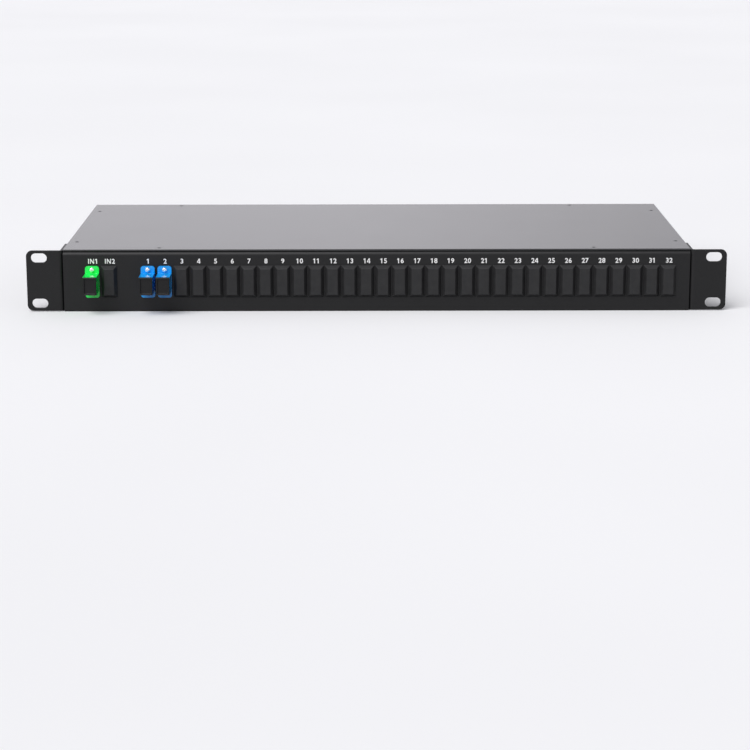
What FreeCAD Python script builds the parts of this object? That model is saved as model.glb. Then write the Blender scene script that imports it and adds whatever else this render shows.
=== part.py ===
"""Rack optical distribution frame, 1U: one fibre input split to two of 32 output places.

Millimetres. +Z is up, the front panel faces -Y and +X is the viewer's right. The origin is
under the middle of the whole unit, dust caps included. Pieces of a port are drawn about the
port's own centre, with y = 0 on the front face of the panel, and are then placed.
"""
import FreeCAD, Part
import math
import os
import re
import Sketcher

os.makedirs("parts", exist_ok=True)
doc = FreeCAD.newDocument("optical_distribution_frame")

# Driving dimensions
SIZES = (
    # Folded steel case
    ("chassis_depth", 200.0),
    ("chassis_height", 43.2),
    ("sheet_gauge", 1.2),
    ("bend_radius", 0.8),
    ("panel_bend", 1.8),
    ("return_width", 12.0),
    ("lip_height", 8.0),
    ("seam_gap", 0.3),
    ("left_margin", 20.1),
    ("group_gap", 26.73),
    ("right_margin", 14.93),
    # Top cover and its screws
    ("cover_gauge", 1.2),
    ("cover_setback", 1.0),
    ("cover_screw_inset", 6.0),
    ("cover_screw_side", 66.0),
    ("cover_screw_corner", 32.0),
    ("cover_screw_shank", 2.5),
    ("cover_screw_length", 6.0),
    # Rack ears and their screws
    ("ear_width", 25.3),
    ("ear_gauge", 2.0),
    ("ear_inset", 0.6),
    ("ear_bend_radius", 1.0),
    ("ear_corner_radius", 4.0),
    ("ear_flange_depth", 28.0),
    ("slot_length", 11.0),
    ("slot_width", 6.5),
    ("slot_edge", 8.75),
    ("slot_inset", 5.125),
    ("ear_screw_back", 17.0),
    ("ear_screw_inset", 10.6),
    ("ear_screw_shank", 4.0),
    ("ear_screw_head", 7.6),
    ("ear_screw_rise", 2.2),
    ("ear_screw_length", 6.0),
    ("screw_clearance", 0.1),
    # Ports
    ("port_height", 21.0),
    ("port_gap", 1.97),
    ("port_clearance", 0.2),
    # Simplex adapter
    ("socket_width", 7.6),
    ("socket_height", 9.2),
    ("side_wall", 0.9),
    ("roof_wall", 1.6),
    ("front_length", 14.4),
    ("rear_length", 12.2),
    ("flange_gauge", 2.0),
    ("flange_lap", 0.1),
    ("flange_ear", 4.8),
    ("flange_corner", 1.8),
    ("keyway_width", 3.2),
    ("keyway_depth", 4.6),
    ("adapter_screw_shank", 2.0),
    ("adapter_screw_head", 3.4),
    ("adapter_screw_rise", 1.3),
    ("adapter_screw_length", 5.2),
    # Sleeve holder and split sleeve
    ("holder_gauge", 1.6),
    ("holder_lap", 0.4),
    ("holder_clearance", 0.1),
    ("holder_reach", 8.4),
    ("holder_wall", 0.65),
    ("sleeve_shy", 0.6),
    ("arm_gauge", 0.9),
    ("arm_width", 3.0),
    ("arm_hook", 0.5),
    ("arm_tip", 1.0),
    ("ferrule_diameter", 2.5),
    ("ferrule_clearance", 0.03),
    ("sleeve_wall", 0.35),
    ("sleeve_clearance", 0.05),
    ("sleeve_slit", 0.5),
    # Dust cap
    ("cap_plate", 2.4),
    ("cap_inset", 0.1),
    ("cap_rim", 1.1),
    ("cap_recess", 1.2),
    ("cap_skirt", 4.0),
    ("cap_wall", 0.9),
    ("cap_clearance", 0.15),
    # Blank plug
    ("blank_gap", 0.6),
    ("blank_height", 22.3),
    ("blank_edge", 0.4),
    ("blank_rise", 2.7),
    ("blank_bevel", 2.1),
    ("blank_skirt", 8.0),
    ("blank_wall", 1.0),
    ("barb_height", 0.55),
    ("barb_length", 2.6),
    ("barb_width", 5.0),
    # Connector behind each adapter
    ("plug_wall", 0.55),
    ("grip_insert", 5.2),
    ("grip_length", 23.0),
    ("grip_clearance", 0.15),
    ("key_rise", 0.6),
    ("key_width", 2.0),
    ("boot_length", 18.0),
    ("boot_root", 5.4),
    ("boot_tip", 2.6),
    # Fibre management
    ("fibre_diameter", 0.9),
    ("fibre_gap", 0.3),
    ("fibre_lead", 11.0),
    ("fibre_sweep", 8.0),
    ("guide_back", 40.0),
    ("guide_wall", 1.6),
    ("guide_height", 10.0),
    ("guide_base", 1.2),
    ("guide_lap", 5.0),
    ("tab_width", 8.0),
    ("splitter_length", 44.0),
    ("splitter_width", 7.0),
    ("splitter_height", 4.4),
    ("splitter_boot", 6.0),
)

sheet = doc.addObject("Spreadsheet::Sheet", "Sizes")
for row, (alias, length) in enumerate(SIZES, start=1):
    sheet.set(f"A{row}", alias)
    sheet.set(f"B{row}", str(length))
    sheet.setAlias(f"B{row}", alias)
doc.recompute()

# Rules worked out from the driving dimensions
BODY_WIDTH = "(socket_width + 2 * side_wall)"
BODY_HEIGHT = "(socket_height + 2 * roof_wall)"
FLANGE_WIDTH = f"({BODY_WIDTH} + 2 * flange_lap)"
FLANGE_HEIGHT = f"({BODY_HEIGHT} + 2 * flange_ear)"
FLANGE_SCREW = f"({BODY_HEIGHT} / 2 + flange_ear / 2)"
PITCH = f"({FLANGE_WIDTH} + port_gap)"
CUTOUT_WIDTH = f"({BODY_WIDTH} + 2 * port_clearance)"
CUTOUT_HEIGHT = f"({BODY_HEIGHT} + 2 * port_clearance)"
MOUTH = "(flange_gauge + front_length)"
REACH = f"({MOUTH} + cap_plate)"
FACE = f"(({REACH} - chassis_depth) / 2)"
SEAT = "(chassis_height - cover_gauge)"
OUTER_BEND = "(bend_radius + sheet_gauge)"
EAR_HEIGHT = "(chassis_height - 2 * ear_inset)"

INPUTS = 2
OUTPUTS = 32
CHASSIS_WIDTH = f"(left_margin + {INPUTS - 1} * {PITCH} + group_gap + {OUTPUTS - 1} * {PITCH} + right_margin)"
HALF_WIDTH = f"({CHASSIS_WIDTH} / 2)"
FIRST_INPUT = f"(left_margin - {HALF_WIDTH})"
FIRST_OUTPUT = f"({FIRST_INPUT} + {INPUTS - 1} * {PITCH} + group_gap)"

# Ports in use; every other place has a blank plug
FITTED = {
    "in1": FIRST_INPUT,
    "out1": FIRST_OUTPUT,
    "out2": f"({FIRST_OUTPUT} + {PITCH})",
}
BLANKS = {"blank_in2": f"({FIRST_INPUT} + {PITCH})"}
for output in range(len(FITTED), OUTPUTS + 1):
    BLANKS[f"blank_{output:02d}"] = f"({FIRST_OUTPUT} + {output - 1} * {PITCH})"

BOTH = (-1, 1)
NEAR = 0.01
STEM_FLATS = 6
HEAD_FLATS = 12
nodes = []


def tied(rule):
    """Expression for a rule that is written in the sheet's own words."""
    return re.sub(r"[a-z_]+", lambda word: f"Sizes.{word.group()}", str(rule))


def number(rule):
    """Present value of a rule, in millimetres."""
    return float(sheet.evalExpression(tied(rule)))


def keep(item):
    """Count an object as one of the unit's pieces."""
    nodes.append(item)
    return item


def place(item, x="0", y="0", z="0"):
    """Tie an object's position to the sheet."""
    for axis, rule in zip("xyz", (x, y, z)):
        item.setExpression(f"Placement.Base.{axis}", tied(rule))
    return item


def body_at(name, x="0", y="0", z="0"):
    return place(doc.addObject("PartDesign::Body", name), x, y, z)


def sketch_on(body, plane, name, offset="0"):
    """Sketch on one of the body's own planes, moved along the plane's normal."""
    sketch = body.newObject("Sketcher::SketchObject", f"{body.Name}_{name}")
    support = next(item for item in body.Origin.OriginFeatures if item.Role == plane)
    sketch.AttachmentSupport = [(support, "")]
    sketch.MapMode = "FlatFace"
    sketch.setExpression("AttachmentOffset.Base.z", tied(offset))
    return sketch


def tie(sketch, kind, points, rule):
    """Add a dimension to a sketch and bind it to the sheet."""
    index = sketch.addConstraint(Sketcher.Constraint(kind, *points, number(rule)))
    sketch.setExpression(f"Constraints[{index}]", tied(rule))


def outline(sketch, corners):
    """Closed outline of straight edges through corners, each a pair of rules."""
    spots = [FreeCAD.Vector(number(x), number(y), 0) for x, y in corners]
    first = sketch.GeometryCount
    count = len(spots)
    for i in range(count):
        sketch.addGeometry(Part.LineSegment(spots[i], spots[(i + 1) % count]))
    for i in range(count):
        following = first + (i + 1) % count
        sketch.addConstraint(Sketcher.Constraint("Coincident", first + i, 2, following, 1))
    for i, (x, y) in enumerate(corners):
        tie(sketch, "DistanceX", (-1, 1, first + i, 1), x)
        tie(sketch, "DistanceY", (-1, 1, first + i, 1), y)


def rectangle(sketch, x, y, width, height):
    """Rectangle about a centre."""
    left, right = (f"{x} - {width} / 2", f"{x} + {width} / 2")
    low, high = (f"{y} - {height} / 2", f"{y} + {height} / 2")
    outline(sketch, ((left, low), (right, low), (right, high), (left, high)))


def circle(sketch, x, y, diameter):
    centre = FreeCAD.Vector(number(x), number(y), 0)
    radius = f"{diameter} / 2"
    index = sketch.addGeometry(Part.Circle(centre, FreeCAD.Vector(0, 0, 1), number(radius)))
    tie(sketch, "DistanceX", (-1, 1, index, 3), x)
    tie(sketch, "DistanceY", (-1, 1, index, 3), y)
    tie(sketch, "Radius", (index,), radius)


def polygon(sketch, x, y, diameter, flats, lean=0):
    """Regular outline within a circle; lean turns its first corner away from the x axis."""
    corners = []
    for i in range(flats):
        angle = math.radians(lean + i * 360 / flats)
        across, up = (f"{math.cos(angle):.6f}", f"{math.sin(angle):.6f}")
        corners.append((f"{x} + {across} * {diameter} / 2", f"{y} + {up} * {diameter} / 2"))
    outline(sketch, corners)


def slot(sketch, x, y, length, width):
    """Round-ended slot that lies along the sketch's x axis."""
    reach = f"({length} - {width}) / 2"
    ends = []
    for side in BOTH:
        centre = FreeCAD.Vector(number(f"{x} + {side} * {reach}"), number(y), 0)
        full = Part.Circle(centre, FreeCAD.Vector(0, 0, 1), number(f"{width} / 2"))
        start = side * math.pi / 2 - math.pi if side > 0 else math.pi / 2
        index = sketch.addGeometry(Part.ArcOfCircle(full, start, start + math.pi))
        tie(sketch, "DistanceX", (-1, 1, index, 3), f"{x} + {side} * {reach}")
        tie(sketch, "DistanceY", (-1, 1, index, 3), y)
        ends.append(index)
    left, right = ends
    for from_end, to_end in ((left, right), (right, left)):
        start_point = sketch.getPoint(from_end, 2)
        end_point = sketch.getPoint(to_end, 1)
        line = sketch.addGeometry(Part.LineSegment(start_point, end_point))
        sketch.addConstraint(Sketcher.Constraint("Tangent", from_end, 2, line, 1))
        sketch.addConstraint(Sketcher.Constraint("Tangent", line, 2, to_end, 1))
    tie(sketch, "Radius", (left,), f"{width} / 2")


def feature(body, kind, sketch, length=None, reverse=False, side="One side", taper=0):
    """Pad or Pocket of a sketch; a Pocket with no length goes through all."""
    item = body.newObject(f"PartDesign::{kind}", f"{sketch.Name}_{kind}")
    item.Profile = sketch
    item.SideType = side
    item.Reversed = reverse
    item.TaperAngle = taper
    if length is None:
        item.Type = "ThroughAll"
    else:
        item.setExpression("Length", tied(length))
    doc.recompute()
    return item


def edges_along(shape, axis, spots):
    """Names of straight edges parallel to an axis that pass through the given spots."""
    others = [i for i in range(3) if i != "XYZ".index(axis)]
    wanted = [tuple(number(rule) for rule in spot) for spot in spots]
    names = []
    for i, edge in enumerate(shape.Edges, start=1):
        start, end = (vertex.Point for vertex in (edge.Vertexes[0], edge.Vertexes[-1]))
        for spot in wanted:
            on_spot = all(
                abs(point[axis_no] - value) < NEAR
                for point in (start, end)
                for axis_no, value in zip(others, spot)
            )
            if on_spot and start.distanceToPoint(end) > NEAR:
                names.append(f"Edge{i}")
    return names


def local_shape(body):
    """Shape of the body's newest feature, in the body's own frame."""
    doc.recompute()
    return body.Tip.Shape


def round_off(body, name, radius, axis, spots):
    """Fillet along the straight edges that pass through the given spots."""
    names = edges_along(local_shape(body), axis, spots)
    base = body.Tip
    item = body.newObject("PartDesign::Fillet", f"{body.Name}_{name}")
    item.Base = (base, names)
    item.setExpression("Radius", tied(radius))
    doc.recompute()


def box(name, x, y, z, width, depth, height):
    """Box that is centred on x and z and starts at y."""
    item = doc.addObject("Part::Box", name)
    for size, rule in (("Length", width), ("Width", depth), ("Height", height)):
        item.setExpression(size, tied(rule))
    return place(item, f"{x} - {width} / 2", y, f"{z} - {height} / 2")


def turned(axis, angle):
    return FreeCAD.Rotation(FreeCAD.Vector(*axis), angle)


def cylinder(name, diameter, length, y="0", along="Z"):
    """Cylinder about one of the axes that starts at y and runs along +Y or +Z."""
    item = doc.addObject("Part::Cylinder", name)
    item.setExpression("Radius", tied(f"{diameter} / 2"))
    item.setExpression("Height", tied(length))
    if along == "Y":
        item.Placement.Rotation = turned((1, 0, 0), -90)
    return place(item, y=y)


def prism(name, diameter, length, flats, z="0"):
    """Upright prism whose section lies within a circle."""
    item = doc.addObject("Part::Prism", name)
    item.Polygon = flats
    item.setExpression("Circumradius", tied(f"{diameter} / 2"))
    item.setExpression("Height", tied(length))
    return place(item, z=z)


def tapered(name, near, far, start, length):
    """Block along +Y whose section goes from one width and height to another."""
    item = doc.addObject("Part::Wedge", name)
    sizes = (("Ymin", start), ("Ymax", f"{start} + {length}"))
    for ends, (width, height) in ((("X", "Z"), near), (("X2", "Z2"), far)):
        for axis, extent in zip(ends, (width, height)):
            sizes += ((f"{axis}min", f"-{extent} / 2"), (f"{axis}max", f"{extent} / 2"))
    for size, rule in sizes:
        item.setExpression(size, tied(rule))
    return item


def joined(name, items):
    item = doc.addObject("Part::MultiFuse", name)
    item.Shapes = items
    return item


def cut(name, base, tool):
    item = doc.addObject("Part::Cut", name)
    item.Base = base
    item.Tool = tool
    return item


def group(name, items):
    """One node that holds several like solids."""
    item = doc.addObject("Part::Compound", name)
    item.Links = items
    return keep(item)


# Positions that two pieces share
COVER_SCREWS = []
for side in BOTH:
    inner = f"{side} * ({HALF_WIDTH} - cover_screw_side)"
    outer = f"{side} * ({HALF_WIDTH} - cover_screw_inset)"
    COVER_SCREWS.append(("front", inner, "cover_setback + cover_screw_inset"))
    COVER_SCREWS.append(("rear", inner, "chassis_depth - cover_screw_inset"))
    COVER_SCREWS.append(("side", outer, "cover_screw_corner"))
    COVER_SCREWS.append(("side", outer, "chassis_depth - cover_screw_corner"))
EAR_SCREWS = ("ear_inset + ear_screw_inset", "chassis_height - ear_inset - ear_screw_inset")
COVER_TAP = "(cover_screw_shank + screw_clearance)"
EAR_TAP = "(ear_screw_shank + screw_clearance)"
FLANGE_TAP = "(adapter_screw_shank + screw_clearance)"
SINK_ANGLE = 45
SINK_WIDTH = f"({2 / math.cos(math.pi / HEAD_FLATS):.6f} * cover_gauge)"


# Folded base tray
def base_tray():
    """Floor, sides, rear wall and front lip of one sheet, with returns on top and tabs behind the corners."""
    tray = keep(body_at("base_tray", y=FACE))
    inner = f"({HALF_WIDTH} - sheet_gauge)"
    under = f"({SEAT} - sheet_gauge)"
    wall_top = f"({under} - seam_gap / 3)"

    channel = sketch_on(tray, "XZ_Plane", "channel", "-sheet_gauge")
    outline(channel, (
        (f"-{HALF_WIDTH}", "0"), (HALF_WIDTH, "0"), (HALF_WIDTH, wall_top), (inner, wall_top),
        (inner, "sheet_gauge"), (f"-{inner}", "sheet_gauge"), (f"-{inner}", wall_top),
        (f"-{HALF_WIDTH}", wall_top),
    ))
    feature(tray, "Pad", channel, "chassis_depth - sheet_gauge", reverse=True)

    rear = sketch_on(tray, "YZ_Plane", "rear")
    rear_face = "(chassis_depth - sheet_gauge)"
    rear_return = "(chassis_depth - return_width)"
    outline(rear, (
        (rear_face, "0"), ("chassis_depth", "0"), ("chassis_depth", SEAT), (rear_return, SEAT),
        (rear_return, under), (rear_face, under),
    ))
    rear_width = f"{CHASSIS_WIDTH} - 2 * sheet_gauge - 2 * seam_gap"
    feature(tray, "Pad", rear, rear_width, side="Symmetric")

    lip = sketch_on(tray, "YZ_Plane", "lip")
    outline(lip, (
        ("sheet_gauge", "0"), ("2 * sheet_gauge", "0"), ("2 * sheet_gauge", "lip_height"),
        ("sheet_gauge", "lip_height"),
    ))
    feature(tray, "Pad", lip, rear_width, side="Symmetric")

    returns = sketch_on(tray, "XZ_Plane", "returns", "-return_width - seam_gap")
    edge = f"({HALF_WIDTH} - return_width)"
    for side in BOTH:
        outline(returns, (
            (f"{side} * {HALF_WIDTH}", f"{wall_top} - seam_gap"), (f"{side} * {HALF_WIDTH}", SEAT),
            (f"{side} * {edge}", SEAT), (f"{side} * {edge}", under),
            (f"{side} * {inner}", under), (f"{side} * {inner}", f"{wall_top} - seam_gap"),
        ))
    return_length = "chassis_depth - 2 * return_width - 2 * seam_gap"
    feature(tray, "Pad", returns, return_length, reverse=True)

    outer_lines = [(f"{side} * {HALF_WIDTH}", level) for side in BOTH for level in ("0", SEAT)]
    inner_lines = [(f"{side} * {inner}", level) for side in BOTH for level in ("sheet_gauge", under)]
    round_off(tray, "side_bends", OUTER_BEND, "Y", outer_lines)
    round_off(tray, "side_hollows", "bend_radius", "Y", inner_lines)
    round_off(tray, "rear_bend", OUTER_BEND, "X", (("chassis_depth", SEAT),))
    round_off(tray, "rear_hollow", "bend_radius", "X", ((rear_face, under),))
    round_off(tray, "front_corners", "panel_bend + seam_gap", "X", (("sheet_gauge", wall_top),))

    tabs = sketch_on(tray, "XZ_Plane", "tabs", f"-{rear_return}")
    tab_edge = f"({inner} - sheet_gauge)"
    for side in BOTH:
        outline(tabs, (
            (f"{side} * {tab_edge}", "sheet_gauge / 2"), (f"{side} * {inner}", "sheet_gauge / 2"),
            (f"{side} * {inner}", wall_top), (f"{side} * {tab_edge}", wall_top),
        ))
    feature(tray, "Pad", tabs, "return_width - sheet_gauge", reverse=True)

    taps = sketch_on(tray, "XY_Plane", "taps", f"{under} - sheet_gauge")
    for where, x, y in COVER_SCREWS:
        if where != "front":
            polygon(taps, x, y, COVER_TAP, STEM_FLATS)
    feature(tray, "Pocket", taps, reverse=True)
    ear_taps = sketch_on(tray, "YZ_Plane", "ear_taps")
    for level in EAR_SCREWS:
        polygon(ear_taps, "ear_screw_back", level, EAR_TAP, STEM_FLATS, lean=90)
    feature(tray, "Pocket", ear_taps, side="Symmetric")


# Punched front panel
def front_panel():
    """Face with a return at the top and a cut-out at each place; fitted places have a screw hole."""
    panel = keep(body_at("front_panel", y=FACE))
    under = f"({SEAT} - sheet_gauge)"
    profile = sketch_on(panel, "YZ_Plane", "profile")
    outline(profile, (
        ("0", "0"), ("0", SEAT), ("return_width", SEAT), ("return_width", under),
        ("sheet_gauge", under), ("sheet_gauge", "0"),
    ))
    feature(panel, "Pad", profile, CHASSIS_WIDTH, side="Symmetric")
    round_off(panel, "bend", "panel_bend + sheet_gauge", "X", (("0", SEAT),))
    round_off(panel, "hollow", "panel_bend", "X", (("sheet_gauge", under),))

    for name, first, count in (("outputs", FIRST_OUTPUT, OUTPUTS), ("inputs", FIRST_INPUT, INPUTS)):
        punch = sketch_on(panel, "XZ_Plane", name)
        rectangle(punch, first, "port_height", CUTOUT_WIDTH, CUTOUT_HEIGHT)
        pocket = feature(panel, "Pocket", punch)
        row = panel.newObject("PartDesign::LinearPattern", f"front_panel_{name}_row")
        row.Originals = [pocket]
        row.Direction = (punch, ["H_Axis"])
        row.setExpression("Length", tied(f"{count - 1} * {PITCH}"))
        row.Occurrences = count
        panel.Tip = row
        doc.recompute()
    holes = sketch_on(panel, "XZ_Plane", "holes")
    for x in FITTED.values():
        polygon(holes, x, f"port_height + {FLANGE_SCREW}", FLANGE_TAP, STEM_FLATS)
    feature(panel, "Pocket", holes)

    taps = sketch_on(panel, "XY_Plane", "taps")
    for where, x, y in COVER_SCREWS:
        if where == "front":
            polygon(taps, x, y, COVER_TAP, STEM_FLATS)
    feature(panel, "Pocket", taps, reverse=True)


# Flat top cover
def top_cover():
    """Plate on the returns, with eight holes that are countersunk right through."""
    cover = keep(body_at("top_cover", y=FACE))
    plate = sketch_on(cover, "XY_Plane", "plate", SEAT)
    outline(plate, (
        (f"-{HALF_WIDTH}", "cover_setback"), (HALF_WIDTH, "cover_setback"),
        (HALF_WIDTH, "chassis_depth"), (f"-{HALF_WIDTH}", "chassis_depth"),
    ))
    feature(cover, "Pad", plate, "cover_gauge")
    sinks = sketch_on(cover, "XY_Plane", "sinks", "chassis_height")
    for where, x, y in COVER_SCREWS:
        polygon(sinks, x, y, f"({COVER_TAP} + {SINK_WIDTH})", HEAD_FLATS)
    feature(cover, "Pocket", sinks, "cover_gauge", taper=-SINK_ANGLE)


# Rack ears
def rack_ear(name, side):
    """Folded bracket: slotted face beside the panel, flange along the side of the tray."""
    ear = keep(body_at(name, y=FACE))
    near = f"({side} * {HALF_WIDTH})"
    skin = f"({side} * ({HALF_WIDTH} + ear_gauge))"
    far = f"({side} * ({HALF_WIDTH} + ear_width))"
    top = "(chassis_height - ear_inset)"
    profile = sketch_on(ear, "XY_Plane", "profile", "ear_inset")
    outline(profile, (
        (near, "ear_flange_depth"), (near, "0"), (far, "0"), (far, "ear_gauge"),
        (skin, "ear_gauge"), (skin, "ear_flange_depth"),
    ))
    feature(ear, "Pad", profile, EAR_HEIGHT)
    round_off(ear, "bend", "ear_bend_radius + ear_gauge", "Z", ((near, "0"),))
    round_off(ear, "hollow", "ear_bend_radius", "Z", ((skin, "ear_gauge"),))
    round_off(ear, "corners", "ear_corner_radius", "Y", [(far, level) for level in ("ear_inset", top)])

    slots = sketch_on(ear, "XZ_Plane", "slots")
    for level in ("ear_inset + slot_inset", f"{top} - slot_inset"):
        slot(slots, f"{side} * ({HALF_WIDTH} + ear_width - slot_edge)", level, "slot_length", "slot_width")
    feature(ear, "Pocket", slots)
    holes = sketch_on(ear, "YZ_Plane", "holes")
    for level in EAR_SCREWS:
        polygon(holes, "ear_screw_back", level, EAR_TAP, STEM_FLATS, lean=90)
    feature(ear, "Pocket", holes, side="Symmetric")


# Screws, with six flats for a threaded stem and twelve for a round head
def like_screws(name, head, shank, length, spots):
    """Group of like screws with plain stems; each spot is a position and a rotation."""
    shaft = prism(f"{name}_stem", shank, length, STEM_FLATS, z=f"-{length}")
    screws = []
    for (x, y, z), turn in spots:
        screw = doc.addObject("Part::Fuse", f"{name}_{len(screws)}")
        screw.Base = head
        screw.Tool = shaft
        screw.Placement.Rotation = turn
        screws.append(place(screw, x, y, z))
    group(f"{name}s", screws)


def cover_screws():
    """Countersunk heads flush with the cover."""
    head = body_at("cover_screw_head")
    rim = sketch_on(head, "XY_Plane", "rim")
    polygon(rim, "0", "0", f"(cover_screw_shank + {SINK_WIDTH})", HEAD_FLATS)
    feature(head, "Pad", rim, "cover_gauge", reverse=True, taper=-SINK_ANGLE)
    upright = turned((0, 0, 1), 0)
    spots = [((x, f"{FACE} + {y}", "chassis_height"), upright) for where, x, y in COVER_SCREWS]
    like_screws("cover_screw", head, "cover_screw_shank", "cover_screw_length", spots)


def ear_screws():
    """Pan heads on the flanges of the ears."""
    head = prism("ear_screw_cap", "ear_screw_head", "ear_screw_rise", HEAD_FLATS)
    spots = []
    for side in BOTH:
        skin = f"{side} * ({HALF_WIDTH} + ear_gauge)"
        outward = turned((0, 1, 0), side * 90)
        spots += [((skin, f"{FACE} + ear_screw_back", level), outward) for level in EAR_SCREWS]
    like_screws("ear_screw", head, "ear_screw_shank", "ear_screw_length", spots)


def adapter_screws():
    """Pan head at the top of each adapter's flange, threaded into the panel."""
    head = prism("adapter_screw_cap", "adapter_screw_head", "adapter_screw_rise", HEAD_FLATS)
    forward = turned((1, 0, 0), 90)
    spots = []
    for x in FITTED.values():
        spots.append(((x, f"{FACE} - flange_gauge", f"port_height + {FLANGE_SCREW}"), forward))
    like_screws("adapter_screw", head, "adapter_screw_shank", "adapter_screw_length", spots)


# Pieces that repeat from port to port
def at_ports(prefix, base, tool, kind="Part::Cut"):
    """One piece for each fitted port, finished from a shared form."""
    for port, x in FITTED.items():
        item = keep(doc.addObject(kind, f"{prefix}_{port}"))
        item.Base = base
        item.Tool = tool
        place(item, x, FACE, "port_height")


HOLDER_MIDDLE = f"((rear_length - {MOUTH}) / 2)"
PLATE_WIDTH = "(socket_width + 2 * holder_lap)"
PLATE_HEIGHT = "(socket_height + 2 * holder_lap)"


def adapters():
    """Flanged housing, open at both ends, with a keyway in one side of each mouth."""
    form = body_at("adapter_form")
    total = f"({MOUTH} + rear_length)"
    shell = sketch_on(form, "XZ_Plane", "shell", MOUTH)
    rectangle(shell, "0", "0", BODY_WIDTH, BODY_HEIGHT)
    feature(form, "Pad", shell, total, reverse=True)
    flange = sketch_on(form, "XZ_Plane", "flange", "flange_gauge")
    rectangle(flange, "0", "0", FLANGE_WIDTH, FLANGE_HEIGHT)
    feature(form, "Pad", flange, "flange_gauge", reverse=True)
    corners = [(f"{i} * {FLANGE_WIDTH} / 2", f"{j} * {FLANGE_HEIGHT} / 2") for i in BOTH for j in BOTH]
    round_off(form, "flange_edges", "flange_corner", "Y", corners)
    keyways = sketch_on(form, "YZ_Plane", "keyways")
    rectangle(keyways, f"keyway_depth / 2 - {MOUTH}", "0", "keyway_depth", "keyway_width")
    rectangle(keyways, "rear_length - keyway_depth / 2", "0", "keyway_depth", "keyway_width")
    feature(form, "Pocket", keyways, reverse=True)
    holes = sketch_on(form, "XZ_Plane", "holes", MOUTH)
    polygon(holes, "0", FLANGE_SCREW, f"({FLANGE_TAP} + screw_clearance)", STEM_FLATS)
    feature(form, "Pocket", holes)
    bore = box("adapter_bore", "0", f"-{MOUTH}", "0", "socket_width", total, "socket_height")
    deep = "(holder_gauge + 2 * holder_clearance)"
    groove = box(
        "adapter_groove", "0", f"{HOLDER_MIDDLE} - {deep} / 2", "0",
        f"({PLATE_WIDTH} + 2 * holder_clearance)", deep, f"({PLATE_HEIGHT} + 2 * holder_clearance)",
    )
    at_ports("adapter", form, joined("adapter_hollow", [bore, groove]))


SLEEVE_OUTER = "(ferrule_diameter + 2 * ferrule_clearance + 2 * sleeve_wall)"
SLEEVE_LENGTH = "(2 * holder_reach - 2 * sleeve_shy)"
HOLDER_BORE = f"({SLEEVE_OUTER} + 2 * sleeve_clearance)"
TUBE_OUTER = f"({HOLDER_BORE} + 2 * holder_wall)"


def sleeve_holders():
    """Plate held in the housing's groove, tube for the sleeve and four latch arms."""
    form = body_at("holder_form")
    plate = sketch_on(form, "XZ_Plane", "plate", f"-{HOLDER_MIDDLE}")
    rectangle(plate, "0", "0", PLATE_WIDTH, PLATE_HEIGHT)
    feature(form, "Pad", plate, "holder_gauge", side="Symmetric")
    tube = sketch_on(form, "XZ_Plane", "tube", f"-{HOLDER_MIDDLE}")
    circle(tube, "0", "0", TUBE_OUTER)
    feature(form, "Pad", tube, "2 * holder_reach", side="Symmetric")
    arms = sketch_on(form, "YZ_Plane", "arms")
    outer = "(socket_height / 2 - holder_clearance)"
    inner = f"({outer} - arm_gauge)"
    for end in BOTH:
        for side in BOTH:
            root = f"{HOLDER_MIDDLE} + {end} * holder_gauge / 2"
            tip = f"{HOLDER_MIDDLE} + {end} * holder_reach"
            outline(arms, (
                (root, f"{side} * {inner}"), (root, f"{side} * {outer}"), (tip, f"{side} * {outer}"),
                (tip, f"{side} * {inner}"), (f"{tip} - {end} * arm_tip", f"{side} * ({inner} - arm_hook)"),
                (f"{tip} - {end} * 2 * arm_tip", f"{side} * {inner}"),
            ))
    feature(form, "Pad", arms, "arm_width", side="Symmetric")
    bore = cylinder(
        "holder_bore", HOLDER_BORE, "2 * holder_reach", y=f"{HOLDER_MIDDLE} - holder_reach", along="Y",
    )
    at_ports("sleeve_holder", form, bore)


def split_sleeves():
    """Thin tube with one slit along it, which lines up the two ferrules."""
    start = f"{HOLDER_MIDDLE} - {SLEEVE_LENGTH} / 2"
    skin = cylinder("sleeve_skin", SLEEVE_OUTER, SLEEVE_LENGTH, y=start, along="Y")
    bore = cylinder(
        "sleeve_bore", "(ferrule_diameter + 2 * ferrule_clearance)", SLEEVE_LENGTH, y=start, along="Y",
    )
    tall = f"{SLEEVE_OUTER} / 2"
    slit = box("sleeve_slit", "0", start, f"{tall} / 2", "sleeve_slit", SLEEVE_LENGTH, tall)
    at_ports("split_sleeve", skin, joined("sleeve_hollow", [bore, slit]))


def dust_caps():
    """Plate over the mouth with a sunk face, and a hollow skirt inside the socket."""
    form = body_at("cap_form")
    width = f"({BODY_WIDTH} - 2 * cap_inset)"
    height = f"({BODY_HEIGHT} - 2 * cap_inset)"
    plate = sketch_on(form, "XZ_Plane", "plate", REACH)
    rectangle(plate, "0", "0", width, height)
    feature(form, "Pad", plate, "cap_plate", reverse=True)
    face = sketch_on(form, "XZ_Plane", "face", REACH)
    rectangle(face, "0", "0", f"({width} - 2 * cap_rim)", f"({height} - 2 * cap_rim)")
    feature(form, "Pocket", face, "cap_recess")
    skirt_width = "(socket_width - 2 * cap_clearance)"
    skirt_height = "(socket_height - 2 * cap_clearance)"
    skirt = sketch_on(form, "XZ_Plane", "skirt", MOUTH)
    rectangle(skirt, "0", "0", skirt_width, skirt_height)
    feature(form, "Pad", skirt, "cap_skirt", reverse=True)
    hollow = box(
        "cap_hollow", "0", f"-{MOUTH}", "0",
        f"({skirt_width} - 2 * cap_wall)", "cap_skirt", f"({skirt_height} - 2 * cap_wall)",
    )
    at_ports("dust_cap", form, hollow)


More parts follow.
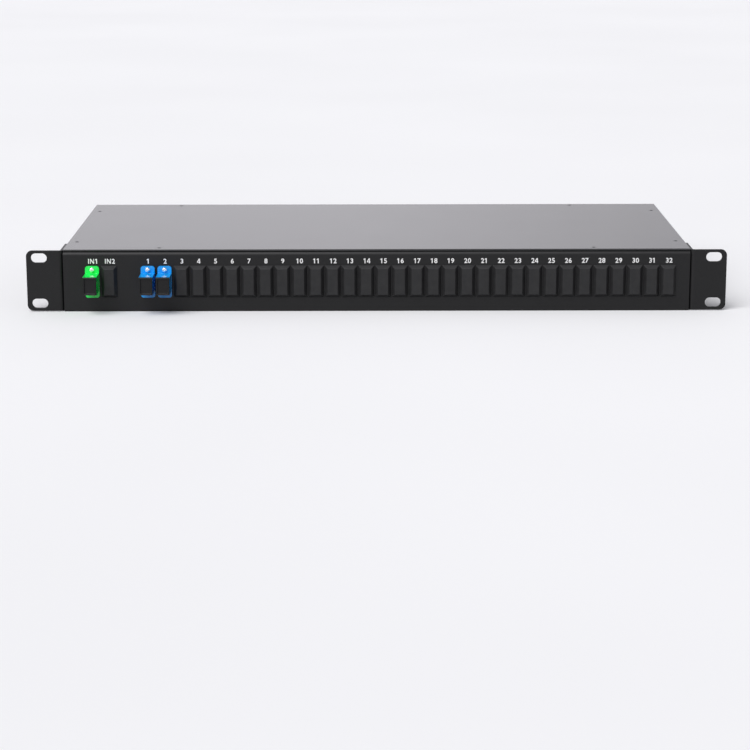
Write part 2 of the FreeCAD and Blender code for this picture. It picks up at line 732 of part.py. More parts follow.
# Blank plugs
def blank_plugs():
    """Bevelled cover over an unused place, with a hollow skirt and two snap barbs behind."""
    form = body_at("blank_form")
    width = f"({PITCH} - blank_gap)"
    base = sketch_on(form, "XZ_Plane", "base", "blank_edge")
    rectangle(base, "0", "0", width, "blank_height")
    feature(form, "Pad", base, "blank_edge", reverse=True)
    skirt = sketch_on(form, "XZ_Plane", "skirt")
    rectangle(skirt, "0", "0", BODY_WIDTH, BODY_HEIGHT)
    feature(form, "Pad", skirt, "blank_skirt", reverse=True)
    barbs = sketch_on(form, "YZ_Plane", "barbs")
    hook = "(sheet_gauge + screw_clearance)"
    for side in BOTH:
        outline(barbs, (
            (hook, f"{side} * ({BODY_HEIGHT} / 2 - barb_height)"),
            (hook, f"{side} * ({BODY_HEIGHT} / 2 + barb_height)"),
            (f"{hook} + barb_length", f"{side} * ({BODY_HEIGHT} / 2 - barb_height)"),
        ))
    feature(form, "Pad", barbs, "barb_width", side="Symmetric")
    hollow = box(
        "blank_hollow", "0", "0", "0",
        f"({BODY_WIDTH} - 2 * blank_wall)", "blank_skirt", f"({BODY_HEIGHT} - 2 * blank_wall)",
    )
    face = (f"({width} - 2 * blank_bevel)", "(blank_height - 2 * blank_bevel)")
    raised = tapered("blank_raised", face, (width, "blank_height"), "-blank_edge - blank_rise", "blank_rise")
    solid = joined("blank_solid", [form, raised])
    for name, x in BLANKS.items():
        place(keep(cut(name, solid, hollow)), x, FACE, "port_height")


# Connectors behind the panel
PLUG_FRONT = f"({HOLDER_MIDDLE} + holder_gauge / 2 + grip_clearance)"
GRIP_START = "(rear_length - grip_insert)"
BOOT_START = f"({GRIP_START} + grip_length)"
BOOT_END = f"({BOOT_START} + boot_length)"


def connectors():
    """Plug frame round the sleeve tube, keyed grip, ferrule and tapered boot."""
    pocket_side = f"({TUBE_OUTER} + 2 * grip_clearance)"
    frame_length = f"({GRIP_START} - {PLUG_FRONT})"
    frame_side = f"({pocket_side} + 2 * plug_wall)"
    frame = box("plug_frame", "0", PLUG_FRONT, "0", frame_side, frame_length, frame_side)
    grip_width = "(socket_width - 2 * grip_clearance)"
    grip_height = "(socket_height - 2 * grip_clearance)"
    grip = box("plug_grip", "0", GRIP_START, "0", grip_width, "grip_length", grip_height)
    key = box(
        "plug_key", f"{grip_width} / 2", "rear_length - keyway_depth + grip_clearance", "0",
        "2 * key_rise", "keyway_depth", "key_width",
    )
    root, tip = (("boot_root", "boot_root"), ("boot_tip", "boot_tip"))
    boot = tapered("plug_boot", root, tip, BOOT_START, "boot_length")
    solid = joined("plug_solid", [frame, grip, key, boot])
    pocket_length = f"({HOLDER_MIDDLE} + holder_reach + grip_clearance - {PLUG_FRONT})"
    pocket = box("plug_pocket", "0", PLUG_FRONT, "0", pocket_side, pocket_length, pocket_side)
    start = f"({HOLDER_MIDDLE} + ferrule_clearance)"
    ferrule = cylinder("plug_ferrule", "ferrule_diameter", f"{GRIP_START} - {start}", y=start, along="Y")
    at_ports("connector", cut("plug_form", solid, pocket), ferrule, "Part::Fuse")


# Fibre guide, splitter and pigtails on the tray's floor
SPLITTER_X = f"({FIRST_OUTPUT} + {PITCH} / 2)"
WIND = f"(({SPLITTER_X} - {FIRST_INPUT}) / 2)"
GUIDE_RADIUS = f"({WIND} - fibre_gap - fibre_diameter / 2)"
GUIDE_X = f"({FIRST_INPUT} + {WIND})"
GUIDE_Y = f"({FACE} + chassis_depth - guide_back)"
SPLITTER_REAR = f"({GUIDE_Y} - fibre_lead)"
SPLITTER_FRONT = f"({SPLITTER_REAR} - splitter_length - 2 * splitter_boot)"
FIBRE_Z = "(sheet_gauge + splitter_height / 2)"
FIBRE_SPLIT = "((fibre_diameter + fibre_gap) / 2)"


def fibre_guide():
    """Half-round wall that turns the input fibre back, on a foot and with two fingers over it."""
    form = body_at("guide_form")
    spread = f"(2 * ({GUIDE_RADIUS} + guide_lap))"
    foot = sketch_on(form, "XY_Plane", "foot")
    rectangle(foot, "0", f"{spread} / 4", spread, f"({spread} / 2)")
    feature(form, "Pad", foot, "guide_base")
    drum = sketch_on(form, "XY_Plane", "drum")
    circle(drum, "0", "0", f"(2 * {GUIDE_RADIUS})")
    feature(form, "Pad", drum, "guide_height")
    fingers = sketch_on(form, "XY_Plane", "fingers", "guide_height - guide_wall")
    for side in BOTH:
        rectangle(fingers, f"{side} * {spread} / 4", "tab_width / 2", f"({spread} / 2)", "tab_width")
    feature(form, "Pad", fingers, "guide_wall")
    core = cylinder("guide_core", f"(2 * ({GUIDE_RADIUS} - guide_wall))", "guide_height")
    front = box("guide_front", "0", f"-{spread}", "0", f"(2 * {spread})", spread, "(4 * guide_height)")
    guide = keep(cut("fibre_guide", form, joined("guide_hollow", [core, front])))
    place(guide, GUIDE_X, GUIDE_Y, "sheet_gauge")


def splitter_module():
    """Small flat package with a tapered boot at each end, stuck to the floor."""
    section = ("splitter_width", "splitter_height")
    tip = ("(3 * fibre_diameter + fibre_gap)", "(2 * fibre_diameter)")
    package = box("splitter_package", "0", "splitter_boot", "0", section[0], "splitter_length", section[1])
    outlet = tapered("splitter_outlet", tip, section, "0", "splitter_boot")
    inlet = tapered("splitter_inlet", section, tip, "splitter_boot + splitter_length", "splitter_boot")
    module = keep(joined("splitter_module", [package, outlet, inlet]))
    place(module, SPLITTER_X, SPLITTER_FRONT, FIBRE_Z)


def rounded_path(corners):
    """Wire of straight runs joined by tangent arcs; each corner is a point and its arc's reach."""
    points = [FreeCAD.Vector(*(number(rule) for rule in spot)) for spot, reach in corners]
    edges = []
    start = points[0]
    for i in range(1, len(points) - 1):
        before = (points[i - 1] - points[i]).normalize()
        after = (points[i + 1] - points[i]).normalize()
        half = before.getAngle(after) / 2
        reach = number(corners[i][1])
        radius = reach * math.tan(half)
        enter = points[i] + before * reach
        leave = points[i] + after * reach
        toward = (before + after).normalize()
        crown = points[i] + toward * (radius / math.sin(half) - radius)
        if start.distanceToPoint(enter) > NEAR:
            edges.append(Part.LineSegment(start, enter).toShape())
        edges.append(Part.Arc(enter, crown, leave).toShape())
        start = leave
    edges.append(Part.LineSegment(start, points[-1]).toShape())
    return Part.Wire(edges)


def pigtail(port, corners):
    """Fibre lead swept along its route, drawn with six flats."""
    route = doc.addObject("Part::Feature", f"route_{port}")
    route.Shape = rounded_path(corners)
    first = route.Shape.Edges[0]
    section = doc.addObject("Part::RegularPolygon", f"section_{port}")
    section.Polygon = STEM_FLATS
    section.setExpression("Circumradius", tied("fibre_diameter / 2"))
    heading = first.tangentAt(first.FirstParameter)
    section.Placement = FreeCAD.Placement(
        first.Vertexes[0].Point, FreeCAD.Rotation(FreeCAD.Vector(0, 0, 1), heading),
    )
    lead = keep(doc.addObject("Part::Sweep", f"pigtail_{port}"))
    lead.Sections = [section]
    lead.Spine = (route, [f"Edge{i + 1}" for i in range(len(route.Shape.Edges))])
    lead.Solid = True


def pigtails():
    """The input turns back round the guide to the splitter; the outputs go straight to the ports."""
    out_of_boot = f"({FACE} + {BOOT_END})"
    near_port = f"({out_of_boot} + fibre_lead)"
    behind = f"({GUIDE_Y} + {WIND})"
    pigtail("in1", (
        ((FIRST_INPUT, out_of_boot, "port_height"), "0"),
        ((FIRST_INPUT, near_port, "port_height"), "fibre_sweep"),
        ((FIRST_INPUT, f"{GUIDE_Y} - 4 * fibre_lead", FIBRE_Z), "fibre_sweep"),
        ((FIRST_INPUT, behind, FIBRE_Z), WIND),
        ((SPLITTER_X, behind, FIBRE_Z), WIND),
        ((SPLITTER_X, SPLITTER_REAR, FIBRE_Z), "0"),
    ))
    for port, side in (("out1", -1), ("out2", 1)):
        beside = f"({SPLITTER_X} + {side} * {FIBRE_SPLIT})"
        pigtail(port, (
            ((beside, SPLITTER_FRONT, FIBRE_Z), "0"),
            ((beside, f"{SPLITTER_FRONT} - fibre_lead", FIBRE_Z), "fibre_sweep"),
            ((FITTED[port], near_port, "port_height"), "fibre_sweep"),
            ((FITTED[port], out_of_boot, "port_height"), "0"),
        ))


base_tray()
front_panel()
top_cover()
rack_ear("rack_ear_left", -1)
rack_ear("rack_ear_right", 1)
cover_screws()
ear_screws()
adapters()
adapter_screws()
sleeve_holders()
split_sleeves()
dust_caps()
blank_plugs()
connectors()
fibre_guide()
splitter_module()
pigtails()
doc.recompute()

# Check every object, then write each piece
for item in doc.Objects:
    if "Invalid" in item.State or "Error" in item.State:
        raise RuntimeError(f"{item.Name} failed: {item.State}")
for node in nodes:
    node.Label = node.Name
    if node.Shape.isNull() or not node.Shape.isValid() or not node.Shape.Solids:
        raise RuntimeError(f"{node.Name} has no valid solid")
for node in nodes:
    node.Shape.exportStep(f"parts/{node.Label}.step")
print(len(nodes), "pieces written")
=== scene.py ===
"""Looks of the rack optical distribution frame: coats, plastics, screws and port numbers."""
import bmesh
import bpy
import math
from mathutils import Matrix, Vector


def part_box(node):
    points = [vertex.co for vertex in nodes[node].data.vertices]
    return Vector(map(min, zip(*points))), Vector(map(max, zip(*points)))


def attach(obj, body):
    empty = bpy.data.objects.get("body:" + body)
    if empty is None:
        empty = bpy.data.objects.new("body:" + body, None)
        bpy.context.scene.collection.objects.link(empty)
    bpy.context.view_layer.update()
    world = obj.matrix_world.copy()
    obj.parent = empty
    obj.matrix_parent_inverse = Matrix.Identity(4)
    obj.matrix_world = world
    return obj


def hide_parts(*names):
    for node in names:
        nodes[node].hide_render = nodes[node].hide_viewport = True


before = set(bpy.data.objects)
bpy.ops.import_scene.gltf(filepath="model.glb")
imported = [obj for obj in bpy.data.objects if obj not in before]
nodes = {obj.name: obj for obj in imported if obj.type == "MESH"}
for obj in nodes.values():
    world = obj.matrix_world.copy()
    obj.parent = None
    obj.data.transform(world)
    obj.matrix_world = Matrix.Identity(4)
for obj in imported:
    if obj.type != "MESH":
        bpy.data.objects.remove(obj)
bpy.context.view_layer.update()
scene = bpy.context.scene
scene.view_settings.view_transform = "Standard"

MM = 0.001
PORTS = ("in1", "out1", "out2")
PANEL_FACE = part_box("front_panel")[0].y
WELD_REACH = 0.002 * MM


# Helpers for new objects and meshes
def linked(name, data):
    """New object in the scene."""
    item = bpy.data.objects.new(name, data)
    scene.collection.objects.link(item)
    return item


def as_mesh(shape, name):
    """Mesh of a bmesh, which is freed."""
    mesh = bpy.data.meshes.new(name)
    shape.to_mesh(mesh)
    shape.free()
    return mesh


def final_mesh(item):
    """Mesh that an object's curve or modifiers give; the object itself goes."""
    view = bpy.context.evaluated_depsgraph_get()
    mesh = bpy.data.meshes.new_from_object(item.evaluated_get(view))
    bpy.data.objects.remove(item)
    return mesh


# Materials
def srgb(red, green, blue):
    """Linear colour of an 8-bit screen colour."""
    channels = []
    for value in (red, green, blue):
        c = value / 255
        channels.append(c / 12.92 if c <= 0.04045 else ((c + 0.055) / 1.055) ** 2.4)
    return (*channels, 1)


class Surface:
    """Principled material whose colour, roughness and bump vary over the piece."""

    CLEAR_ROUGHNESS = 0.15
    SUBSURFACE_REACH = 1.5 * MM
    # Most of the noise lies between these
    NOISE_LOW, NOISE_HIGH = 0.3, 0.7

    def __init__(self, name, roughness, metallic=0.0, coat=0.0, subsurface=0.0, level=0.5):
        self.material = bpy.data.materials.new(name)
        self.material.use_nodes = True
        self.tree = self.material.node_tree
        self.shader = self.tree.nodes["Principled BSDF"]
        self.shader.inputs["Roughness"].default_value = roughness
        self.shader.inputs["Metallic"].default_value = metallic
        self.shader.inputs["Coat Weight"].default_value = coat
        self.shader.inputs["Coat Roughness"].default_value = self.CLEAR_ROUGHNESS
        self.shader.inputs["Subsurface Weight"].default_value = subsurface
        self.shader.inputs["Subsurface Scale"].default_value = self.SUBSURFACE_REACH
        self.shader.inputs["Specular IOR Level"].default_value = level
        self.place = self.tree.nodes.new("ShaderNodeTexCoord").outputs["Object"]

    def noise(self, size, detail=2.0, stretch=(1, 1, 1)):
        """Noise with features of about the given size in metres."""
        mapping = self.tree.nodes.new("ShaderNodeMapping")
        mapping.inputs["Scale"].default_value = stretch
        texture = self.tree.nodes.new("ShaderNodeTexNoise")
        texture.inputs["Scale"].default_value = 1 / size
        texture.inputs["Detail"].default_value = detail
        self.tree.links.new(self.place, mapping.inputs["Vector"])
        self.tree.links.new(mapping.outputs["Vector"], texture.inputs["Vector"])
        return texture.outputs["Fac"]

    def vary(self, socket, source, low, high):
        """Let noise take a shader input from one colour or number to another."""
        if isinstance(low, tuple):
            ramp = self.tree.nodes.new("ShaderNodeValToRGB")
            ramp.color_ramp.elements[0].position = self.NOISE_LOW
            ramp.color_ramp.elements[1].position = self.NOISE_HIGH
            ramp.color_ramp.elements[0].color = low
            ramp.color_ramp.elements[1].color = high
            self.tree.links.new(source, ramp.inputs["Fac"])
            self.tree.links.new(ramp.outputs["Color"], self.shader.inputs[socket])
            return
        spread = self.tree.nodes.new("ShaderNodeMapRange")
        spread.inputs["From Min"].default_value = self.NOISE_LOW
        spread.inputs["From Max"].default_value = self.NOISE_HIGH
        spread.inputs["To Min"].default_value = low
        spread.inputs["To Max"].default_value = high
        self.tree.links.new(source, spread.inputs["Value"])
        self.tree.links.new(spread.outputs["Result"], self.shader.inputs[socket])

    def bump(self, source, depth, strength):
        """Raise and sink the surface by noise, to a depth in metres."""
        node = self.tree.nodes.new("ShaderNodeBump")
        node.inputs["Distance"].default_value = depth
        node.inputs["Strength"].default_value = strength
        self.tree.links.new(source, node.inputs["Height"])
        self.tree.links.new(node.outputs["Normal"], self.shader.inputs["Normal"])


def powder_coat(name, dark, light, roughness, level, clear):
    """Satin black coat with the fine orange peel of sprayed powder."""
    coat = Surface(name, roughness, level=level, coat=clear)
    coat.vary("Base Color", coat.noise(size=0.7 * MM, detail=3), dark, light)
    coat.vary("Roughness", coat.noise(size=30 * MM), roughness * 0.98, roughness * 1.02)
    coat.bump(coat.noise(size=0.55 * MM, detail=3), depth=0.02 * MM, strength=0.6)
    return coat.material


def moulded(name, dark, light, roughness, grain, depth, **finish):
    """Injection-moulded plastic with the grain of its tool; also paint, ink and ceramic."""
    plastic = Surface(name, roughness, **finish)
    plastic.vary("Base Color", plastic.noise(size=4 * MM, detail=3), dark, light)
    plastic.vary("Roughness", plastic.noise(size=2 * MM), roughness * 0.9, roughness * 1.1)
    plastic.bump(plastic.noise(size=grain), depth=depth, strength=0.5)
    return plastic.material


def plated(name, dark, light, roughness):
    """Turned and plated steel with fine turning marks."""
    steel = Surface(name, roughness, metallic=1.0)
    steel.vary("Base Color", steel.noise(size=0.8 * MM, detail=3), dark, light)
    steel.vary("Roughness", steel.noise(size=0.5 * MM), roughness * 0.8, roughness * 1.2)
    steel.bump(steel.noise(size=0.12 * MM, stretch=(1, 1, 6)), depth=0.01 * MM, strength=0.4)
    return steel.material


CASE_COAT = powder_coat(
    "case_coat", srgb(15, 15, 16), srgb(21, 21, 22), roughness=0.42, level=0.3, clear=0.0,
)
COVER_COAT = powder_coat(
    "cover_coat", srgb(20, 20, 22), srgb(26, 26, 28), roughness=0.26, level=0.5, clear=0.42,
)
BLANK_PLASTIC = moulded(
    "blank_plastic", srgb(40, 40, 41), srgb(46, 46, 47),
    roughness=0.36, grain=0.25 * MM, depth=0.01 * MM, level=0.24,
)
CAP_PLASTIC = moulded(
    "cap_plastic", srgb(12, 12, 13), srgb(17, 17, 18),
    roughness=0.36, grain=0.3 * MM, depth=0.01 * MM, level=0.28,
)
GREEN_PLASTIC = moulded(
    "green_plastic", srgb(18, 240, 88), srgb(26, 248, 98),
    roughness=0.04, grain=0.8 * MM, depth=0.0005 * MM,
)
BLUE_PLASTIC = moulded(
    "blue_plastic", srgb(1, 151, 232), srgb(6, 159, 239),
    roughness=0.04, grain=0.8 * MM, depth=0.0005 * MM,
)
PALE_PLASTIC = moulded(
    "pale_plastic", srgb(226, 226, 220), srgb(236, 236, 231),
    roughness=0.45, grain=0.4 * MM, depth=0.01 * MM,
)
CERAMIC = moulded(
    "ceramic", srgb(240, 238, 231), srgb(247, 246, 240),
    roughness=0.2, grain=0.2 * MM, depth=0.003 * MM, subsurface=0.1,
)
JACKET = moulded(
    "jacket", srgb(235, 200, 62), srgb(244, 212, 78),
    roughness=0.5, grain=0.3 * MM, depth=0.01 * MM,
)
BRIGHT_STEEL = plated("bright_steel", srgb(238, 238, 240), srgb(248, 248, 248), roughness=0.14)
DARK_STEEL = moulded(
    "dark_steel", srgb(16, 16, 17), srgb(26, 26, 27),
    roughness=0.4, grain=0.15 * MM, depth=0.01 * MM, level=0.4,
)
MODULE_STEEL = plated("module_steel", srgb(176, 178, 182), srgb(204, 205, 208), roughness=0.34)
# Painted shade: a near-black, dull lining for the cover screws' cross recesses, darker than the cover
# coat, so the recesses look as dark as if shade fell in them
RECESS_PAINTED_SHADE = moulded(
    "recess_black", srgb(4, 4, 4), srgb(10, 10, 10),
    roughness=0.7, grain=0.15 * MM, depth=0.01 * MM, level=0.1,
)
INK = moulded(
    "ink", srgb(249, 249, 249), srgb(253, 253, 253),
    roughness=0.55, grain=0.3 * MM, depth=0.004 * MM,
)


# Dressed CAD nodes, with the turns between their faces in degrees
EDGE_STEPS = 2
FLAT_TURN = 0.5
SOFT_TURN = 35
COVER_SOFT_TURN = 60


def dress(node, coat, edge, turn=SOFT_TURN):
    """Give a CAD node its material, and soft edges where its faces turn by enough degrees."""
    piece = nodes[node]
    piece.data.materials.clear()
    piece.data.materials.append(coat)
    weld = piece.modifiers.new("weld", "WELD")
    weld.merge_threshold = WELD_REACH
    flat = piece.modifiers.new("flat", "DECIMATE")
    flat.decimate_type = "DISSOLVE"
    flat.angle_limit = math.radians(FLAT_TURN)
    soft = piece.modifiers.new("soft", "BEVEL")
    soft.width = edge
    soft.segments = EDGE_STEPS
    soft.limit_method = "ANGLE"
    soft.angle_limit = math.radians(turn)
    soft.use_clamp_overlap = True
    soft.harden_normals = True
    clean = piece.modifiers.new("clean", "WELD")
    clean.merge_threshold = WELD_REACH
    smooth = piece.modifiers.new("smooth", "WEIGHTED_NORMAL")
    smooth.keep_sharp = True


for node in ("base_tray", "front_panel"):
    dress(node, CASE_COAT, edge=0.15 * MM)
# The countersinks of the cover stay crisp round the flush screws
dress("top_cover", COVER_COAT, edge=0.3 * MM, turn=COVER_SOFT_TURN)
for node in ("rack_ear_left", "rack_ear_right"):
    dress(node, CASE_COAT, edge=0.35 * MM)
for node in nodes:
    if node.startswith("blank_"):
        dress(node, BLANK_PLASTIC, edge=0.3 * MM)
for port in PORTS:
    body = GREEN_PLASTIC if port.startswith("in") else BLUE_PLASTIC
    dress(f"adapter_{port}", body, edge=0.3 * MM)
    dress(f"connector_{port}", body, edge=0.2 * MM)
    dress(f"dust_cap_{port}", CAP_PLASTIC, edge=0.35 * MM)
    dress(f"sleeve_holder_{port}", PALE_PLASTIC, edge=0.1 * MM)
    dress(f"split_sleeve_{port}", CERAMIC, edge=0.04 * MM)
    dress(f"pigtail_{port}", JACKET, edge=0.05 * MM)
dress("fibre_guide", PALE_PLASTIC, edge=0.2 * MM)
dress("splitter_module", MODULE_STEEL, edge=0.3 * MM)


# Screws with cross recesses
SHARP_TURN = 30
RECESS_WIDE, RECESS_NARROW = 1.75, 0.6
RIM_WIDTH, RIM_DROP = 0.03 * MM, 0.02 * MM
# Turn from one screw's recess to the next one's, in radians
COVER_TURN, ADAPTER_TURN = 0.7, 0.4
EAR_FIRST_TURN, EAR_TURN = 0.5, 1


def lathe(name, profile, turns=40):
    """Mesh turned about +Z from (radius, height) points, top first."""
    shape = bmesh.new()
    rings = []
    for radius, height in profile:
        ring = []
        for i in range(turns):
            angle = 2 * math.pi * i / turns
            ring.append(shape.verts.new((radius * math.cos(angle), radius * math.sin(angle), height)))
        rings.append(ring)
    for upper, lower in zip(rings, rings[1:]):
        for i in range(turns):
            j = (i + 1) % turns
            shape.faces.new((upper[i], lower[i], lower[j], upper[j]))
    shape.faces.new(rings[0])
    shape.faces.new(reversed(rings[-1]))
    bmesh.ops.recalc_face_normals(shape, faces=shape.faces)
    return as_mesh(shape, name)


def cross_cutter(span, width, depth, top):
    """Tapered cross that sinks a recess below a head's top."""
    shape = bmesh.new()
    for turn in (0, math.pi / 2):
        spin = Matrix.Rotation(turn, 3, "Z")
        corners = []
        for height, scale in ((top + depth, RECESS_WIDE), (top - depth, RECESS_NARROW)):
            for x, y in ((-1, -1), (1, -1), (1, 1), (-1, 1)):
                spot = Vector((x * span / 2 * scale, y * width / 2, height))
                corners.append(shape.verts.new(spin @ spot))
        shape.faces.new(corners[:4])
        shape.faces.new(corners[4:][::-1])
        for i in range(4):
            j = (i + 1) % 4
            shape.faces.new((corners[j], corners[i], corners[4 + i], corners[4 + j]))
    bmesh.ops.recalc_face_normals(shape, faces=shape.faces)
    return as_mesh(shape, "cross_cutter")


def recessed(mesh, cutter, coat, inside):
    """The screw with the cutter's form taken out of its head."""
    mesh.materials.append(coat)
    cutter.materials.append(inside)
    body = linked("screw_body", mesh)
    tool = linked("screw_tool", cutter)
    trim = body.modifiers.new("trim", "BOOLEAN")
    trim.operation = "DIFFERENCE"
    trim.solver = "EXACT"
    trim.use_self = True
    trim.material_mode = "TRANSFER"
    trim.object = tool
    result = final_mesh(body)
    bpy.data.objects.remove(tool)
    return result


def screw_set(name, mesh, spots, node):
    """One piece with a screw at each spot, in place of a CAD node; edges over SHARP_TURN stay sharp."""
    shape = bmesh.new()
    for spot in spots:
        copy = mesh.copy()
        copy.transform(spot)
        shape.from_mesh(copy)
        bpy.data.meshes.remove(copy)
    whole = as_mesh(shape, name)
    for coat in mesh.materials:
        whole.materials.append(coat)
    piece = linked(name, whole)
    whole.set_sharp_from_angle(angle=math.radians(SHARP_TURN))
    for face in whole.polygons:
        face.use_smooth = True
    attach(piece, "chassis")
    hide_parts(node)


def solid_boxes(node):
    """Boxes round the separate solids of a CAD node."""
    shape = bmesh.new()
    shape.from_mesh(nodes[node].data)
    bmesh.ops.remove_doubles(shape, verts=shape.verts, dist=WELD_REACH)
    left = set(shape.verts)
    boxes = []
    while left:
        reach = [left.pop()]
        low = reach[0].co.copy()
        high = reach[0].co.copy()
        while reach:
            vert = reach.pop()
            low = Vector(map(min, low, vert.co))
            high = Vector(map(max, high, vert.co))
            for edge in vert.link_edges:
                other = edge.other_vert(vert)
                if other in left:
                    left.remove(other)
                    reach.append(other)
        boxes.append((low, high))
    shape.free()
    return sorted(boxes, key=lambda pair: tuple(pair[0]))


def stem(shank, length):
    """Lower end of a screw's profile, with a blunt tip."""
    return (shank, -length * 0.93), (shank * 0.7, -length)


def pan_profile(radius, rise, shank, length):
    """Domed head on a plain stem; z = 0 is the seat."""
    return (
        (radius * 0.35, rise), (radius * 0.62, rise * 0.97), (radius * 0.84, rise * 0.84),
        (radius * 0.96, rise * 0.58), (radius, rise * 0.25), (radius, 0),
        (shank, 0), *stem(shank, length),
    )


def sunk_profile(radius, depth, shank, length):
    """Flat countersunk head on a plain stem; z = 0 is the flush top."""
    rim = (radius - RIM_WIDTH, 0), (radius, -RIM_DROP)
    return (*rim, (shank, -depth), *stem(shank, length))


# Flush screws of the cover
COVER_SINK = 0.01 * MM
COVER_SHANK = 1.2 * MM
cover_low, cover_high = solid_boxes("cover_screws")[0]
cover_screw = recessed(
    lathe("cover_screw", sunk_profile(
        radius=(cover_high.x - cover_low.x) / 2 - COVER_SINK,
        depth=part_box("top_cover")[1].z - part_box("top_cover")[0].z,
        shank=COVER_SHANK,
        length=cover_high.z - cover_low.z - COVER_SINK,
    )),
    cross_cutter(span=2.3 * MM, width=1.3 * MM, depth=1.2 * MM, top=0),
    # The recess walls of the cover screws take the painted shade lining
    COVER_COAT, RECESS_PAINTED_SHADE,
)
cover_spots = []
for i, (low, high) in enumerate(solid_boxes("cover_screws")):
    place = Matrix.Translation(((low.x + high.x) / 2, (low.y + high.y) / 2, high.z - COVER_SINK))
    cover_spots.append(place @ Matrix.Rotation(COVER_TURN * i, 4, "Z"))
screw_set("cover_screw_set", cover_screw, cover_spots, "cover_screws")


# Pan-head screws of the ears and the adapters
EAR_SHANK, EAR_RISE = 1.9 * MM, 2.2 * MM
ADAPTER_SHANK, ADAPTER_RISE = 0.95 * MM, 1.3 * MM


def pan_screw(node, axis, shank, rise, coat):
    """Pan-head screw sized by the first solid of a CAD node, which lies along the given axis."""
    low, high = solid_boxes(node)[0]
    head = (high.z - low.z) / 2
    return recessed(
        lathe(node, pan_profile(head, rise, shank, high[axis] - low[axis] - rise)),
        cross_cutter(span=head * 0.8, width=head * 0.22, depth=rise * 0.6, top=rise),
        coat, coat,
    )


ear_screw = pan_screw("ear_screws", 0, EAR_SHANK, EAR_RISE, DARK_STEEL)
ear_spots = []
for i, (low, high) in enumerate(solid_boxes("ear_screws")):
    side = 1 if low.x > 0 else -1
    seat = high.x - EAR_RISE if side == 1 else low.x + EAR_RISE
    place = Matrix.Translation((seat, (low.y + high.y) / 2, (low.z + high.z) / 2))
    outward = Matrix.Rotation(side * math.pi / 2, 4, "Y")
    ear_spots.append(place @ outward @ Matrix.Rotation(EAR_FIRST_TURN + EAR_TURN * i, 4, "Z"))
screw_set("ear_screw_set", ear_screw, ear_spots, "ear_screws")

adapter_screw = pan_screw("adapter_screws", 1, ADAPTER_SHANK, ADAPTER_RISE, BRIGHT_STEEL)
adapter_spots = []
for i, (low, high) in enumerate(solid_boxes("adapter_screws")):
    place = Matrix.Translation(((low.x + high.x) / 2, low.y + ADAPTER_RISE, (low.z + high.z) / 2))
    forward = Matrix.Rotation(math.pi / 2, 4, "X")
    adapter_spots.append(place @ forward @ Matrix.Rotation(ADAPTER_TURN * i, 4, "Z"))
screw_set("adapter_screw_set", adapter_screw, adapter_spots, "adapter_screws")


# Printed port numbers
CAP_HEIGHT = 3.4 * MM
LETTER_Z = 35.2 * MM
LETTER_GAP = 0.72 * MM
DIGIT_GAP = 0.55 * MM
DIGIT_WIDTH = 1.95 * MM
INK_DEPTH = 0.04 * MM
INK_SPREAD = 0.1 * MM
FONT_CAP = 0.73
INPUT_SHIFT, OUTPUT_SHIFT = 0.7 * MM, 0.4 * MM
LABELS = {"in1": "IN1", "in2": "IN2", "out1": "1", "out2": "2"}
# Outlines in cap heights about x = 0; the second outline of a letter is a hole
DRAWN = {
    "1": (((0.1, 0), (0.1, 1), (-0.07, 1), (-0.3, 0.85), (-0.3, 0.66), (-0.1, 0.78), (-0.1, 0)),),
    "4": (
        (
            (0.25, 0), (0.25, 0.2), (0.35, 0.2), (0.35, 0.36), (0.25, 0.36), (0.25, 1),
            (0.03, 1), (-0.35, 0.38), (-0.35, 0.2), (0.06, 0.2), (0.06, 0),
        ),
        ((0.06, 0.36), (0.06, 0.74), (-0.17, 0.36)),
    ),
    "I": (((0.085, 0), (0.085, 1), (-0.085, 1), (-0.085, 0)),),
    "N": (
        (
            (0.41, 0), (0.41, 1), (0.26, 1), (0.26, 0.29), (-0.22, 1),
            (-0.41, 1), (-0.41, 0), (-0.26, 0), (-0.26, 0.71), (0.22, 0),
        ),
    ),
}


def glyph(letter):
    """Thin solid of one letter or digit about x = 0, standing on z = 0 and facing -Y."""
    drawn = DRAWN.get(letter)
    curve = bpy.data.curves.new("lettering", "CURVE" if drawn else "FONT")
    if drawn:
        curve.dimensions = "2D"
        for outline in drawn:
            line = curve.splines.new("POLY")
            line.points.add(len(outline) - 1)
            line.use_cyclic_u = True
            for point, (x, y) in zip(line.points, outline):
                point.co = (x * CAP_HEIGHT, y * CAP_HEIGHT, 0, 1)
    else:
        curve.body = letter
        curve.size = CAP_HEIGHT / FONT_CAP
        curve.offset = INK_SPREAD
    curve.fill_mode = "BOTH"
    curve.extrude = INK_DEPTH / 2
    mesh = final_mesh(linked("lettering", curve))
    across = [vert.co.x for vert in mesh.vertices]
    middle = 0 if drawn else (min(across) + max(across)) / 2
    levels = [vert.co.y for vert in mesh.vertices]
    scale = CAP_HEIGHT / (max(levels) - min(levels))
    fit = Matrix.Diagonal((scale, scale, 1, 1))
    mesh.transform(fit @ Matrix.Translation((-middle, -min(levels), 0)))
    mesh.transform(Matrix.Rotation(math.pi / 2, 4, "X"))
    return mesh


def printed(shape, words, x):
    """Add a word to a bmesh, centred on x on the panel's face; all digits are equally wide."""
    letters = [glyph(letter) for letter in words]
    widths = []
    for letter, mesh in zip(words, letters):
        half = max(vert.co.x for vert in mesh.vertices)
        widths.append(DIGIT_WIDTH if letter.isdigit() else 2 * half)
    gap = DIGIT_GAP if words.isdigit() else LETTER_GAP
    pen = x - (sum(widths) + gap * (len(words) - 1)) / 2
    for mesh, width in zip(letters, widths):
        spot = (pen + width / 2, PANEL_FACE - INK_DEPTH / 2, LETTER_Z - CAP_HEIGHT / 2)
        mesh.transform(Matrix.Translation(spot))
        shape.from_mesh(mesh)
        bpy.data.meshes.remove(mesh)
        pen += width + gap


